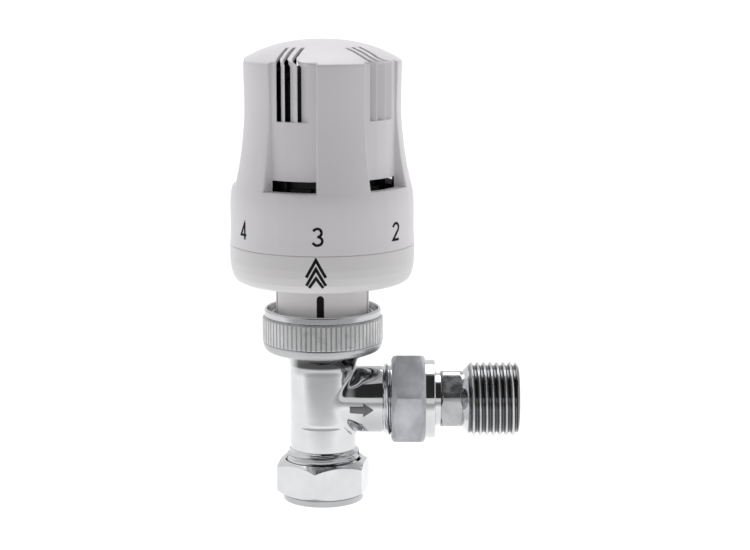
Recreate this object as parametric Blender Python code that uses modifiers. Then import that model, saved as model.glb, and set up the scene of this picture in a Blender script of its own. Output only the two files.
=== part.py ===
"""Thermostatic radiator valve with its sensor head, pipe fitting and radiator tail.

The script works in metres. Outlines are written in millimetres as (radius, height) pairs and
scaled by MM. +Z runs up the spindle, +X runs along the outlet, and the index mark faces -Y.
The origin is the centre of the compression nut's lower face, on the axis of the supply pipe.
"""
import math

import bmesh
import bpy

MM = 0.001

# Facets round a full turn.
HEAD_SEGMENTS = 32
VALVE_SEGMENTS = 24
SMALL_SEGMENTS = 16
GAP = 0.3                      # clearance between pieces that touch

# Pipe side: G 1/2 thread, drawn as a plain cylinder under its crests.
THREAD_R = 10.2
NUT_BORE_R = 10.6
NUT_ACROSS_FLATS = 24.0
PIPE_BORE_R = 7.6
COMPRESSION_NUT_TOP = 11.8
COMPRESSION_NUT_CORNER = 21.7  # degrees from +X to a corner of the hexagon

# Valve body.
BODY_R = 9.2
BODY_BOTTOM = 5.0
BODY_TOP = 49.0
BODY_HEAD_R = 13.95            # M30 x 1.5 thread under its crests
SEAT_Z = 22.4
SEAT_R = 4.8
CHAMBER_R = 7.4
CHAMBER_FLOOR = 20.8
INSERT_BORE_R = 9.8
INSERT_BORE_FLOOR = 42.0

# Branch and tail: heights in these outlines are distances along +X.
BRANCH_Z = 28.6
BRANCH_R = 9.3
BRANCH_BORE_R = 5.6
BRANCH_END = 25.5
UNION_NUT_START = 19.2
UNION_NUT_END = 31.4
UNION_NUT_CORNER = 16.5
TAIL_BORE_R = 5.0
TAIL_END = 54.8
TAIL_ACROSS_FLATS = 15.4
TAIL_CORNER = 16.0

# Head.
RING_BOTTOM = 42.8
RING_TOP = 54.9
RING_R = 16.75
RING_BORE_R = 14.3
NECK_R = 13.0
BASE_BOTTOM = 62.6
BASE_TOP = 73.1
BASE_R = 25.55
DIAL_BOTTOM = BASE_TOP + GAP
DIAL_TOP = 129.2
DIAL_RIM_R = 22.0
DIAL_WALL = 1.8
LEDGE_Z = 89.65
LEDGE_PLATE = 1.75
FLAT_COUNT = 5
FLAT_DISTANCE = 20.9
FLAT_HALF_ANGLE = math.radians(18)
FIRST_FLAT_ANGLE = math.radians(-108)
SLOT_BOTTOM = 108.3
SLOT_INNER = 12.0
SLOT_SPANS = ((-5.1, -3.7), (-2.3, -0.85), (1.4, 3.2))
WINDOW_TOP = 92.5
WINDOW_HALF_WIDTH = 6.2
CAGE_RIB_COUNT = 5

# Stem.
SPINDLE_R = 1.6
SPINDLE_HOLE_R = 1.95


def clear_scene():
    for obj in list(bpy.data.objects):
        bpy.data.objects.remove(obj, do_unlink=True)


def new_collection(name):
    collection = bpy.data.collections.new(name)
    bpy.context.scene.collection.children.link(collection)
    return collection


clear_scene()
PARTS = new_collection("thermostatic_radiator_valve")
CUTTERS = new_collection("cutters")


def material(name, colour, roughness, metallic):
    mat = bpy.data.materials.new(name)
    mat.use_nodes = True
    shader = mat.node_tree.nodes["Principled BSDF"]
    shader.inputs["Base Color"].default_value = (*colour, 1.0)
    shader.inputs["Roughness"].default_value = roughness
    shader.inputs["Metallic"].default_value = metallic
    return mat


def chrome(name):
    return material(name, (0.86, 0.87, 0.88), 0.08, 1.0)


def brass(name):
    return material(name, (0.72, 0.52, 0.24), 0.3, 1.0)


def steel(name):
    return material(name, (0.6, 0.6, 0.62), 0.3, 1.0)


def white_plastic(name):
    return material(name, (0.86, 0.86, 0.85), 0.35, 0.0)


def black_plastic(name):
    return material(name, (0.02, 0.02, 0.022), 0.5, 0.0)


def rubber(name):
    return material(name, (0.015, 0.015, 0.015), 0.8, 0.0)


# ---------------------------------------------------------------- shapes

def turned(name, outline, segments, as_cutter=False):
    """Solid of revolution about Z. The outline runs down its outer side, then up its inner side."""
    bm = bmesh.new()
    verts = [bm.verts.new((radius * MM, 0, height * MM)) for radius, height in outline]
    for start, end in zip(verts, verts[1:]):
        bm.edges.new((start, end))
    if outline[0][0] > 0:
        bm.edges.new((verts[-1], verts[0]))
    obj = mesh_object(name, bm, as_cutter)
    screw = obj.modifiers.new("Turn", "SCREW")
    screw.steps = segments
    screw.render_steps = segments
    screw.use_merge_vertices = True
    screw.merge_threshold = 0.00001
    apply_modifiers(obj)
    return obj


def mesh_object(name, bm, as_cutter):
    mesh = bpy.data.meshes.new(name)
    bm.to_mesh(mesh)
    bm.free()
    obj = bpy.data.objects.new(name, mesh)
    (CUTTERS if as_cutter else PARTS).objects.link(obj)
    if as_cutter:
        obj.hide_render = True
        obj.display_type = "WIRE"
    return obj


def apply_modifiers(obj):
    depsgraph = bpy.context.evaluated_depsgraph_get()
    mesh = bpy.data.meshes.new_from_object(obj.evaluated_get(depsgraph))
    obj.modifiers.clear()
    obj.data = mesh


def extruded(name, outlines, low, high):
    """Cutter made of one upright prism for each flat outline."""
    curve = bpy.data.curves.new(name, "CURVE")
    curve.dimensions = "2D"
    curve.fill_mode = "BOTH"
    curve.extrude = (high - low) / 2 * MM
    for outline in outlines:
        spline = curve.splines.new("POLY")
        spline.points.add(len(outline) - 1)
        spline.use_cyclic_u = True
        for point, (x, y) in zip(spline.points, outline):
            point.co = (x * MM, y * MM, 0, 1)
    drawn = bpy.data.objects.new(name, curve)
    CUTTERS.objects.link(drawn)
    drawn.location.z = (low + high) / 2 * MM
    obj = curve_to_mesh(drawn, as_cutter=True)
    return obj


def curve_to_mesh(drawn, as_cutter):
    bpy.context.view_layer.update()
    depsgraph = bpy.context.evaluated_depsgraph_get()
    mesh = bpy.data.meshes.new_from_object(drawn.evaluated_get(depsgraph))
    bm = bmesh.new()
    bm.from_mesh(mesh)
    bmesh.ops.remove_doubles(bm, verts=bm.verts, dist=0.000001)
    bmesh.ops.recalc_face_normals(bm, faces=bm.faces)
    name = drawn.name
    matrix = drawn.matrix_world.copy()
    bpy.data.objects.remove(drawn, do_unlink=True)
    obj = mesh_object(name, bm, as_cutter)
    obj.matrix_world = matrix
    return obj


def coil(name, radius, wire, low, high, turns, points_per_turn):
    """Helical spring about Z, between its two end heights."""
    curve = bpy.data.curves.new(name, "CURVE")
    curve.dimensions = "3D"
    curve.bevel_depth = wire * MM
    curve.bevel_resolution = 2
    curve.use_fill_caps = True
    count = int(turns * points_per_turn) + 1
    spline = curve.splines.new("POLY")
    spline.points.add(count - 1)
    for index, point in enumerate(spline.points):
        angle = math.tau * index / points_per_turn
        height = low + wire + (high - low - 2 * wire) * index / (count - 1)
        point.co = (radius * math.cos(angle) * MM, radius * math.sin(angle) * MM, height * MM, 1)
    drawn = bpy.data.objects.new(name, curve)
    PARTS.objects.link(drawn)
    return curve_to_mesh(drawn, as_cutter=False)


def torus(name, radius, wire, height, segments, sides):
    bpy.ops.mesh.primitive_torus_add(
        major_radius=radius * MM, minor_radius=wire * MM,
        major_segments=segments, minor_segments=sides, location=(0, 0, height * MM))
    obj = bpy.context.object
    obj.name = name
    for collection in list(obj.users_collection):
        collection.objects.unlink(obj)
    PARTS.objects.link(obj)
    return obj


def combine(target, tool, operation):
    """Cut, join or intersect a piece with a cutter, which then follows the piece."""
    boolean = target.modifiers.new(operation.title(), "BOOLEAN")
    boolean.operation = operation
    boolean.solver = "EXACT"
    boolean.object = tool
    apply_modifiers(target)
    tool.parent = target


def cut(target, *tools):
    for tool in tools:
        combine(target, tool, "DIFFERENCE")


def cut_hexagon(target, low, high, across_flats, corner_degrees):
    """Trim a turned blank to a hexagon between two heights, with a six-sided ring."""
    corner_r = across_flats / math.sqrt(3)
    ring = turned(
        target.name + "_hexagon",
        [(30, high), (30, low), (corner_r, low), (corner_r, high)], 6, as_cutter=True)
    ring.rotation_euler.z = math.radians(corner_degrees)
    bpy.context.view_layer.update()
    cut(target, ring)


def finish(obj, mat, sharp_degrees=35):
    obj.data.materials.clear()
    obj.data.materials.append(mat)
    obj.data.shade_smooth()
    obj.data.set_sharp_from_angle(angle=math.radians(sharp_degrees))
    return obj


def lay_on_branch(obj):
    """Turn a piece modelled about Z so that its axis is the branch, with its heights along +X."""
    obj.rotation_euler.y = math.radians(90)
    obj.location.z = BRANCH_Z * MM


def round_outline(centre, radius, start_degrees, end_degrees, steps):
    """Points of an arc in an outline; 0 degrees points outward and 90 degrees points up."""
    points = []
    for index in range(steps + 1):
        angle = math.radians(start_degrees + (end_degrees - start_degrees) * index / steps)
        points.append((centre[0] + radius * math.cos(angle), centre[1] + radius * math.sin(angle)))
    return points


# ---------------------------------------------------------------- valve

def make_valve_body():
    """One casting: pipe socket, seat, chamber, M30 head and side branch."""
    thread_top = 15.0
    body = turned("valve_body", [
        (BODY_HEAD_R, BODY_TOP), (BODY_HEAD_R, 43.4), (12.2, 42.4), (10.2, 40.6), (BODY_R, 38.4),
        (BODY_R, 22.4), (BODY_R - 0.3, 22.2), (BODY_R, 22.0),
        (BODY_R, thread_top), (THREAD_R, thread_top), (THREAD_R, BODY_BOTTOM), (0, BODY_BOTTOM),
        (0, BODY_TOP)], VALVE_SEGMENTS)
    branch = turned("branch_blank", [
        (THREAD_R - 0.6, BRANCH_END), (THREAD_R, BRANCH_END - 0.6), (THREAD_R, 16.6),
        (BRANCH_R, 16.6), (BRANCH_R, 0), (0, 0), (0, BRANCH_END)], VALVE_SEGMENTS, as_cutter=True)
    lay_on_branch(branch)
    bpy.context.view_layer.update()
    combine(body, branch, "UNION")
    waterway = turned("waterway_cutter", [
        (INSERT_BORE_R, BODY_TOP + 1), (INSERT_BORE_R, INSERT_BORE_FLOOR),
        (CHAMBER_R, INSERT_BORE_FLOOR), (CHAMBER_R, CHAMBER_FLOOR), (6.2, CHAMBER_FLOOR),
        (6.2, SEAT_Z), (SEAT_R, SEAT_Z), (SEAT_R, 17.5), (PIPE_BORE_R, 15.5),
        (PIPE_BORE_R, 8.0), (9.4, BODY_BOTTOM), (9.4, BODY_BOTTOM - 1),
        (0, BODY_BOTTOM - 1), (0, BODY_TOP + 1)], VALVE_SEGMENTS, as_cutter=True)
    outlet = turned("outlet_cutter", [
        (7.9, BRANCH_END + 1), (7.9, 22.4), (BRANCH_BORE_R, 22.4), (BRANCH_BORE_R, 3.0),
        (0, 3.0), (0, BRANCH_END + 1)], VALVE_SEGMENTS, as_cutter=True)
    lay_on_branch(outlet)
    bpy.context.view_layer.update()
    cut(body, waterway, outlet)
    finish(body, chrome("chromed_casting"))


def make_bonnet():
    """Brass insert in the body's head, with its gland nut and the two O-rings."""
    insert_r = INSERT_BORE_R - GAP
    insert = turned("bonnet_insert", [
        (8.0, 54.2), (8.0, 51.5), (10.5, 51.5), (10.5, BODY_TOP + GAP),
        (insert_r, BODY_TOP + GAP), (insert_r, 44.1), (7.0, 44.1), (7.0, 37.0),
        (SPINDLE_HOLE_R, 37.0), (SPINDLE_HOLE_R, 40.0), (5.2, 40.0), (5.2, 54.2)], VALVE_SEGMENTS)
    cut_hexagon(insert, BODY_TOP + GAP, 51.5, 18.6, 0)
    finish(insert, brass("insert_brass"))
    gland = turned("gland_nut", [
        (5.8, 56.5), (6.4, 56.1), (6.4, 54.5), (4.9, 54.5), (4.9, 50.2), (SPINDLE_HOLE_R, 50.2),
        (SPINDLE_HOLE_R, 51.4), (3.6, 51.4), (3.6, 53.1), (SPINDLE_HOLE_R, 53.1),
        (SPINDLE_HOLE_R, 56.5)], SMALL_SEGMENTS)
    cut_hexagon(gland, 54.5, 57.0, 11.0, 0)
    finish(gland, brass("gland_brass"))
    finish(torus("bonnet_o_ring", 8.4, 0.75, 43.1, 20, 6), rubber("bonnet_seal_rubber"))
    finish(torus("gland_o_ring", 2.7, 0.55, 52.25, 16, 6), rubber("gland_seal_rubber"))


def make_stem():
    """Spindle, its spring seat, the closing disc and the head's push pin."""
    spindle = turned("spindle", [
        (0, 59.2), (1.2, 59.2), (SPINDLE_R, 58.8), (SPINDLE_R, 29.9), (2.6, 29.9), (2.6, 29.0),
        (SPINDLE_R, 29.0), (SPINDLE_R, 22.2), (0, 22.2)], SMALL_SEGMENTS)
    finish(spindle, steel("spindle_steel"))
    clip = turned("spindle_clip", [
        (4.8, 48.3), (4.8, 47.5), (SPINDLE_HOLE_R, 47.5), (SPINDLE_HOLE_R, 48.3)], SMALL_SEGMENTS)
    finish(clip, steel("clip_steel"))
    finish(coil("return_spring", 3.9, 0.4, 40.3, 47.2, 4.5, 12), steel("return_spring_steel"))
    holder = turned("disc_holder", [
        (3.2, 28.7), (3.2, 27.9), (6.3, 27.6), (6.3, 26.7), (SPINDLE_HOLE_R, 26.7),
        (SPINDLE_HOLE_R, 28.7)], SMALL_SEGMENTS)
    finish(holder, brass("holder_brass"))
    washer = turned("seat_washer", [
        (6.0, 26.4), (6.0, 24.6), (SPINDLE_HOLE_R, 24.6), (SPINDLE_HOLE_R, 26.4)], SMALL_SEGMENTS)
    finish(washer, rubber("washer_rubber"))
    nut = turned("washer_nut", [
        (3.4, 24.3), (3.4, 22.9), (SPINDLE_HOLE_R, 22.9), (SPINDLE_HOLE_R, 24.3)], 6)
    finish(nut, brass("washer_nut_brass"))
    pin = turned("push_pin", [
        (0, 76.5), (5.0, 76.5), (5.0, 74.8), (2.5, 74.8), (2.5, 60.0), (2.0, 59.5), (0, 59.5)],
        SMALL_SEGMENTS)
    finish(pin, steel("push_pin_steel"))


# ---------------------------------------------------------------- fittings

def make_compression_fitting():
    """Hexagon nut and olive that grip the supply pipe."""
    corner_r = NUT_ACROSS_FLATS / math.sqrt(3)
    top = COMPRESSION_NUT_TOP
    nut = turned("compression_nut", [
        (11.6, top), (corner_r, top - 1.3), (corner_r, 3.1), (12.2, 2.2), (11.3, 2.2), (11.3, 0.5),
        (10.8, 0), (7.8, 0), (7.8, 1.2), (NUT_BORE_R, 3.0), (NUT_BORE_R, top - 0.4),
        (10.9, top)], VALVE_SEGMENTS)
    cut_hexagon(nut, 2.2, top + 1, NUT_ACROSS_FLATS, COMPRESSION_NUT_CORNER)
    finish(nut, chrome("compression_nut_chrome"), 20)
    olive = turned("olive", [
        (8.1, 6.6), (9.3, 4.2), (9.3, 2.8), (8.3, 1.9), (PIPE_BORE_R, 1.9), (PIPE_BORE_R, 6.6)],
        VALVE_SEGMENTS)
    finish(olive, brass("olive_brass"))


def make_union():
    """Union nut, and the tail that screws into the radiator."""
    corner_r = NUT_ACROSS_FLATS / math.sqrt(3)
    nut = turned("union_nut", [
        (10.95, UNION_NUT_END), (10.95, 28.6), (12.2, 28.6), (corner_r, 27.6),
        (corner_r, UNION_NUT_START + 1.3), (11.6, UNION_NUT_START), (10.9, UNION_NUT_START),
        (NUT_BORE_R, UNION_NUT_START + 0.4), (NUT_BORE_R, 28.2), (8.0, 28.2),
        (8.0, UNION_NUT_END)], VALVE_SEGMENTS)
    cut_hexagon(nut, UNION_NUT_START - 1, 28.6, NUT_ACROSS_FLATS, UNION_NUT_CORNER)
    lay_on_branch(nut)
    finish(nut, chrome("union_nut_chrome"), 20)

    hex_r = TAIL_ACROSS_FLATS / math.sqrt(3)
    tail = turned("radiator_tail", [
        (9.3, TAIL_END), (THREAD_R, TAIL_END - 0.9), (THREAD_R, 40.6), (hex_r - 0.3, 38.9),
        (hex_r, 38.6), (hex_r, 33.2), (hex_r - 0.3, 32.9), (7.35, 32.9), (7.35, 27.8),
        (THREAD_R, 27.8), (THREAD_R, BRANCH_END + 0.4), (6.8, BRANCH_END + 0.4), (6.8, 25.3),
        (6.0, 25.3), (6.0, 23.5), (6.8, 23.5), (6.8, 22.8), (TAIL_BORE_R, 22.8),
        (TAIL_BORE_R, TAIL_END)], VALVE_SEGMENTS)
    cut_hexagon(tail, 32.9, 38.9, TAIL_ACROSS_FLATS, TAIL_CORNER)
    lay_on_branch(tail)
    finish(tail, chrome("tail_chrome"), 20)

    seal = torus("tail_o_ring", 6.95, 0.55, 24.4, 20, 6)
    bpy.context.view_layer.update()
    seal.data.transform(seal.matrix_world)
    seal.location.z = 0
    lay_on_branch(seal)
    finish(seal, rubber("tail_seal_rubber"))


# ---------------------------------------------------------------- head

def make_union_ring():
    """Chromed ring that screws the head on, and the wire ring that keeps it on the neck."""
    ring = turned("union_ring", [
        (15.5, RING_TOP), (16.0, RING_TOP - 0.3), (16.2, RING_TOP - 1.0), (16.2, 52.9),
        (15.9, 52.7), (RING_R, 52.4), (RING_R, 45.6), (16.2, 44.0), (14.9, RING_BOTTOM),
        (RING_BORE_R, RING_BOTTOM), (RING_BORE_R, 51.0), (NECK_R + 0.35, 51.0),
        (NECK_R + 0.35, 52.5), (14.9, 52.5), (14.9, RING_TOP)], HEAD_SEGMENTS)
    finish(ring, chrome("ring_chrome"), 20)
    finish(torus("ring_clip", 14.0, 0.4, 53.2, 28, 6), steel("ring_clip_steel"))


def make_neck():
    """Split neck whose collar the union ring presses on the valve body."""
    inner_r = 11.1
    collar_r = RING_BORE_R - 0.35
    bottom = BODY_TOP + GAP
    neck = turned("neck_tube", [
        (20.0, 66.2), (20.0, 64.7), (NECK_R, 64.7), (NECK_R, 50.7), (collar_r, 50.5),
        (collar_r, bottom), (inner_r, bottom), (inner_r, 62.5), (2.9, 62.5), (2.9, 66.2)],
        HEAD_SEGMENTS)
    slit_y = NECK_R * math.cos(math.radians(74))
    half = 0.55
    slits = []
    for centre in (-slit_y, slit_y):
        slits.append([(-16, centre - half), (16, centre - half), (16, centre + half),
                      (-16, centre + half)])
    cut(neck, extruded("neck_slits", slits, bottom - 1, 61.5))
    finish(neck, white_plastic("neck_white"))


def make_base_ring():
    """Fixed cup under the dial."""
    lower_edge = round_outline((21.0, BASE_BOTTOM + 3.6), 3.6, -15, -90, 3)
    ring = turned("base_ring", [
        (22.8, 76.0), (22.8, BASE_TOP), (BASE_R, BASE_TOP), (BASE_R, 69.0), (25.2, 67.0),
        *lower_edge, (NECK_R + 0.35, BASE_BOTTOM), (NECK_R + 0.35, 64.4), (20.6, 64.4),
        (21.6, 65.4), (21.6, 76.0)], HEAD_SEGMENTS)
    finish(ring, white_plastic("base_white"))


def make_sensor():
    """Fixed cage, and the carrier, capsule, spring and cap that slide in it."""
    cage_bottom = 66.2 + GAP
    cage_top = 98.0
    cage = turned("sensor_cage", [
        (17.6, cage_top), (17.6, cage_bottom + 1.8), (20.0, cage_bottom + 1.8),
        (20.0, cage_bottom), (6.5, cage_bottom), (6.5, cage_bottom + 1.8),
        (16.2, cage_bottom + 1.8), (16.2, cage_top)], HEAD_SEGMENTS)
    slot_half = 4.0
    slots = [flat_outline(index, 14.0, 20.0, -slot_half, slot_half)
             for index in range(CAGE_RIB_COUNT)]
    cut(cage, extruded("cage_slots", slots, 71.0, 95.0))
    finish(cage, black_plastic("cage_black"))

    sleeve = turned("setting_sleeve", [
        (15.8, 118.7), (15.8, 73.0), (14.7, 73.0), (14.7, 118.7)], HEAD_SEGMENTS)
    key_half = 3.0
    keys = [flat_outline(index, 15.2, 17.2, -key_half, key_half)
            for index in range(CAGE_RIB_COUNT)]
    combine(sleeve, extruded("sleeve_keys", keys, 76.0, 90.0), "UNION")
    finish(sleeve, black_plastic("sleeve_black"))

    capsule = turned("sensor_capsule", [
        (0, 111.0), (13.2, 111.0), (14.3, 110.0), (14.3, 79.0), (13.3, 78.0), (6.0, 78.0),
        (5.4, 77.4), (0, 77.4)], VALVE_SEGMENTS)
    finish(capsule, material("capsule_aluminium", (0.75, 0.76, 0.78), 0.35, 1.0))
    finish(coil("override_spring", 11.0, 0.8, 111.3, 118.7, 3, 16), steel("override_steel"))
    cap = turned("spring_cap", [
        (4.0, 121.0), (15.0, 121.0), (15.8, 120.2), (15.8, 119.0), (4.0, 119.0)], VALVE_SEGMENTS)
    finish(cap, black_plastic("cap_black"))


def flat_outline(index, near, far, left, right, flare=0.0):
    """Four corners in the frame of one of the head's five sides.

    near and far are distances from the axis; left and right run along the side; flare widens the
    far edge by that much for each unit of distance.
    """
    angle = FIRST_FLAT_ANGLE + math.tau * index / FLAT_COUNT
    spread = flare * (far - near)
    corners = ((near, left), (far, left - spread), (far, right + spread), (near, right))
    return [(out * math.cos(angle) - along * math.sin(angle),
             out * math.sin(angle) + along * math.cos(angle)) for out, along in corners]


def dome_height(radius):
    return DIAL_TOP - 0.5 * (radius / 8) ** 2.4


def dial_side(offset):
    """Outline of the dial's lobes from the rim to the skirt, moved inward by offset."""
    rim_start = DIAL_RIM_R - 0.9
    side = [(radius, dome_height(radius) - offset) for radius in (0, 6, 11, 15, 18.5)]
    side += round_outline((rim_start - offset, dome_height(rim_start) - 0.9 - offset), 0.9, 90, 0, 2)
    side += [(22.0 - offset, 110.0), (24.4 - offset, 90.5)]
    return side


def make_dial():
    """Turning grip: lobed shell with five slotted flats, a ledge under each, and a plain skirt."""
    dial = turned("dial_cap", [
        *dial_side(0), (25.0, 88.2), (25.3, 86.0), (25.3, 77.0), (25.5, DIAL_BOTTOM),
        (0, DIAL_BOTTOM)], HEAD_SEGMENTS)
    slope = math.tan(FLAT_HALF_ANGLE)
    top = DIAL_TOP + 5

    half = FLAT_DISTANCE * slope
    flats = [flat_outline(index, FLAT_DISTANCE, 32, -half, half, slope)
             for index in range(FLAT_COUNT)]
    cut(dial, extruded("flat_cutter", flats, LEDGE_Z, top))

    plate_bottom = LEDGE_Z - LEDGE_PLATE
    skirt_r = 23.2
    cavity = turned("cavity_cutter", [
        *dial_side(DIAL_WALL), (skirt_r, plate_bottom), (skirt_r, DIAL_BOTTOM - 1),
        (0, DIAL_BOTTOM - 1)], HEAD_SEGMENTS, as_cutter=True)
    inner = FLAT_DISTANCE - DIAL_WALL
    half = inner * slope + DIAL_WALL
    backs = [flat_outline(index, inner, 32, -half, half, slope) for index in range(FLAT_COUNT)]
    cut(cavity, extruded("flat_backs", backs, plate_bottom, top))
    cut(dial, cavity)

    slots = [flat_outline(index, SLOT_INNER, 26, left, right)
             for index in range(FLAT_COUNT) for left, right in SLOT_SPANS]
    cut(dial, extruded("slot_cutter", slots, SLOT_BOTTOM, top))
    windows = [flat_outline(index, 14, 21.6, -WINDOW_HALF_WIDTH, WINDOW_HALF_WIDTH)
               for index in range(FLAT_COUNT)]
    cut(dial, extruded("window_cutter", windows, LEDGE_Z, WINDOW_TOP))
    finish(dial, white_plastic("dial_white"))


make_valve_body()
make_bonnet()
make_stem()
make_compression_fitting()
make_union()
make_union_ring()
make_neck()
make_base_ring()
make_sensor()
make_dial()
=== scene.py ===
"""Looks of the thermostatic radiator valve: fine meshes and procedural materials round the CAD frame.

Shapes are worked out in millimetres in the frame's own axes (+Z up the spindle, +X along the
outlet, -Y the front) and scaled to metres by MM when a mesh is made.
"""
import math

import bmesh
import bpy
import numpy as np
from mathutils import Matrix, Vector


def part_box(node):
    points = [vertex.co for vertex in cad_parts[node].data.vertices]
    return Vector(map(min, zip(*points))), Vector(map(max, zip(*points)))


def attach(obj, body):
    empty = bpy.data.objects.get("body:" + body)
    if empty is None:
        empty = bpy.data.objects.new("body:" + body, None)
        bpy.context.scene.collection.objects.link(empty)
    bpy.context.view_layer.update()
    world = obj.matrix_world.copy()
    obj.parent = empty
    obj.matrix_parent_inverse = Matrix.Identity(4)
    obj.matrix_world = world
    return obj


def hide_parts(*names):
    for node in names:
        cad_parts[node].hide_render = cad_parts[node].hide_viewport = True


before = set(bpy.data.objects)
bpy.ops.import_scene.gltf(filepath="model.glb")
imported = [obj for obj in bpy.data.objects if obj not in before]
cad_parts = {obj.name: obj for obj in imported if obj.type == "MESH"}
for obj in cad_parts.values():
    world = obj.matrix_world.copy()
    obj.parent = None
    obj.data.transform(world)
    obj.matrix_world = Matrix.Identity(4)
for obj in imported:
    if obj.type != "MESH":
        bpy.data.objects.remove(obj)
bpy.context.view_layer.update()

MM = 0.001


def span(node, axis):
    """Lowest and highest place of a CAD node along an axis, in millimetres."""
    low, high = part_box(node)
    return low[axis] / MM, high[axis] / MM


# Places read from the frame.
X, Z = 0, 2
RING_LOW = span("union_ring", Z)[0]
BASE_LOW = span("base_ring", Z)[0]
DIAL_LOW, DIAL_HIGH = span("dial_cap", Z)
NUT_HIGH = span("compression_nut", Z)[1]
BODY_LOW, BODY_HIGH = span("valve_body", Z)
BRANCH_END = span("valve_body", X)[1]
TAIL_START, TAIL_END = span("radiator_tail", X)
UNION_START, UNION_END = span("union_nut", X)
BRANCH_Z = sum(span("radiator_tail", Z)) / 2

# Standard sizes.
G_HALF_CREST_R = 20.955 / 2
G_HALF_PITCH = 1.814
G_HALF_DEPTH = 1.162
NUT_APOTHEM = 12.0
NUT_CORNER = 0.35
CHAMFER_SLOPE = math.tan(math.radians(30))


# -------- mesh building

def make_object(name, bm, mat, sharp_degrees=38):
    """Makes a bmesh a smooth-shaded object whose hard edges stay sharp."""
    bmesh.ops.remove_doubles(bm, verts=bm.verts, dist=0.002)
    bmesh.ops.dissolve_degenerate(bm, edges=bm.edges, dist=0.002)
    bmesh.ops.recalc_face_normals(bm, faces=bm.faces)
    bmesh.ops.scale(bm, vec=(MM, MM, MM), verts=bm.verts)
    mesh = bpy.data.meshes.new(name)
    bm.to_mesh(mesh)
    bm.free()
    obj = bpy.data.objects.new(name, mesh)
    bpy.context.scene.collection.objects.link(obj)
    mesh.materials.append(mat)
    mesh.shade_smooth()
    mesh.set_sharp_from_angle(angle=math.radians(sharp_degrees))
    return obj


def add_grid(bm, points, close_rows, close_columns, keep=None):
    """Adds the quads of a grid of points, indexed [column][row]; keep says which quads are made."""
    columns, rows = len(points), len(points[0])
    verts = [[bm.verts.new(point) for point in column] for column in points]
    for c in range(columns if close_columns else columns - 1):
        for r in range(rows if close_rows else rows - 1):
            if keep is not None and not keep(c, r):
                continue
            d, s = (c + 1) % columns, (r + 1) % rows
            bm.faces.new((verts[c][r], verts[d][r], verts[d][s], verts[c][s]))
    return verts


def soften(outline, radius, steps, closed=True):
    """Rounds the corners of an outline, up to the length its edges leave.

    Points are (r, z), or (r, z, radius) where a corner has its own rounding.
    """
    count = len(outline)
    result = []
    for index, point in enumerate(outline):
        here = np.array(point[:2], float)
        limit = point[2] if len(point) > 2 else radius
        if not closed and index in (0, count - 1):
            result.append(tuple(here))
            continue
        before = np.array(outline[index - 1][:2], float) - here
        after = np.array(outline[(index + 1) % count][:2], float) - here
        len_before, len_after = np.linalg.norm(before), np.linalg.norm(after)
        if limit == 0 or min(len_before, len_after) < 1e-6:
            result += [tuple(here)] * (steps + 1)
            continue
        before, after = before / len_before, after / len_after
        turn = math.pi - math.acos(np.clip(before @ after, -1, 1))
        reach = min(limit * math.tan(turn / 2), 0.46 * len_before, 0.46 * len_after)
        start, end = here + before * reach, here + after * reach
        for step in range(steps + 1):
            t = step / steps
            result.append(tuple((1 - t) ** 2 * start + 2 * t * (1 - t) * here + t * t * end))
    return result


def spaced(count):
    """Angles evenly round a circle."""
    return [math.tau * index / count for index in range(count)]


def polar(radius, angle):
    """X and Y of a point at a radius and angle."""
    return radius * math.cos(angle), radius * math.sin(angle)


def revolve(name, section, angles, mat, sharp_degrees=38):
    """Ring-shaped solid: section(angle) gives its closed outline of (r, z) points at that angle."""
    bm = bmesh.new()
    points = [[(*polar(r, angle), z) for r, z in section(angle)] for angle in angles]
    add_grid(bm, points, close_rows=True, close_columns=True)
    obj = make_object(name, bm, mat, sharp_degrees)
    weight_normals(obj)
    return obj


def lathe(name, outline, mat, radius, steps=3, segments=128):
    """Turned solid of one outline with its corners rounded."""
    rounded = soften(outline, radius, steps)
    return revolve(name, lambda angle: rounded, spaced(segments), mat)


def curve_through(points):
    """Smooth curve through points, by Catmull-Rom."""
    per_span = 5
    ends = [points[0], *points, points[-1]]
    result = []
    for a, b, c, d in zip(ends, ends[1:], ends[2:], ends[3:]):
        a, b, c, d = (np.array(p, float) for p in (a, b, c, d))
        for step in range(per_span):
            t = step / per_span
            result.append(tuple(0.5 * (2 * b + (c - a) * t + (2 * a - 5 * b + 4 * c - d) * t * t
                                       + (3 * b - a - 3 * c + d) * t ** 3)))
    result.append(tuple(map(float, points[-1])))
    return result


def repaint(obj, mat, inside):
    """Gives a second material to the faces whose centre, in millimetres, lies inside."""
    obj.data.materials.append(mat)
    index = len(obj.data.materials) - 1
    for face in obj.data.polygons:
        if inside(face.center / MM):
            face.material_index = index


def on_branch(obj):
    """Turns a piece worked out about Z so that its heights run along the branch."""
    obj.data.transform(Matrix.Translation((0, 0, BRANCH_Z * MM)) @ Matrix.Rotation(math.pi / 2, 4, "Y"))
    return obj


def join_rings(bm, one, two):
    """Adds the wall between two rings of as many verts each."""
    for k in range(len(one)):
        n = (k + 1) % len(one)
        bm.faces.new((one[k], one[n], two[n], two[k]))


def bevel_then_weight(obj, width, **limits):
    """Rounds hard edges, then evens the shading; limits say which edges are rounded."""
    bevel = obj.modifiers.new("Moulded edges", "BEVEL")
    bevel.width = width * MM
    bevel.segments = 2
    for option, value in limits.items():
        setattr(bevel, option, value)
    weight_normals(obj)


def weight_normals(obj):
    """Evens the shading of large faces next to small ones."""
    normals = obj.modifiers.new("Weighted normals", "WEIGHTED_NORMAL")
    normals.keep_sharp = True


def place(obj, body, slot, *nodes):
    """The piece rides on a body and stands for the CAD nodes named, which it hides; slot is not used."""
    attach(obj, body)
    if nodes:
        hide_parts(*nodes)


# -------- hexagons and threads

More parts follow.
